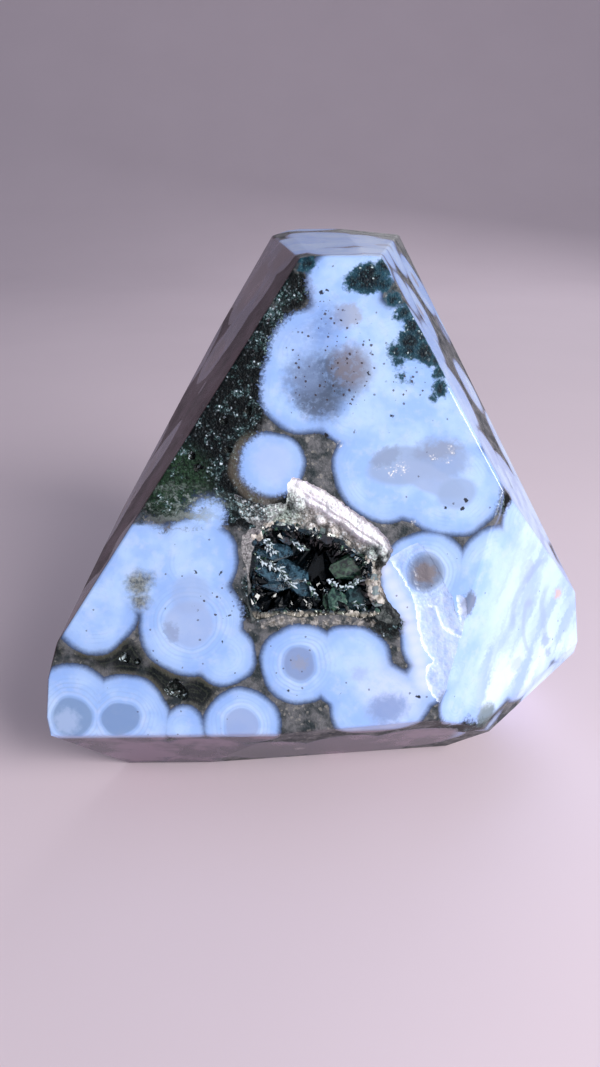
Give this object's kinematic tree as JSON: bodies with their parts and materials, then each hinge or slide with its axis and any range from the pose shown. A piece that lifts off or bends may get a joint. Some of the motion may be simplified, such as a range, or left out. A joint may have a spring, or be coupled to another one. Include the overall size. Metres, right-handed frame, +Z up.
{
  "type": "ocean jasper freeform",
  "caption": "Polished, faceted ocean jasper stone with pale orbs in dark green and grey matrix, a crystal-lined hollow and a broken ledge, standing on a small ground flat",
  "frame": {"origin": "on the flat that the stone stands on, under its centre of mass", "axes": "+Z up from the flat; the front facet with the crystal hollow faces -Y and leans back 25 degrees; +X is to the right seen from the front"},
  "size_m": [0.0712, 0.0638, 0.0668],
  "materials": {
    "polished_jasper": "polished chalcedony: pale blue-white orbs with grey cores in dark green and grey-brown matrix",
    "green_quartz_druse": "glossy dark green quartz crystals, partly translucent"
  },
  "bodies": {
    "root": {"stone": "polished_jasper", "vug_crust": "green_quartz_druse"}
  },
  "joints": []
}
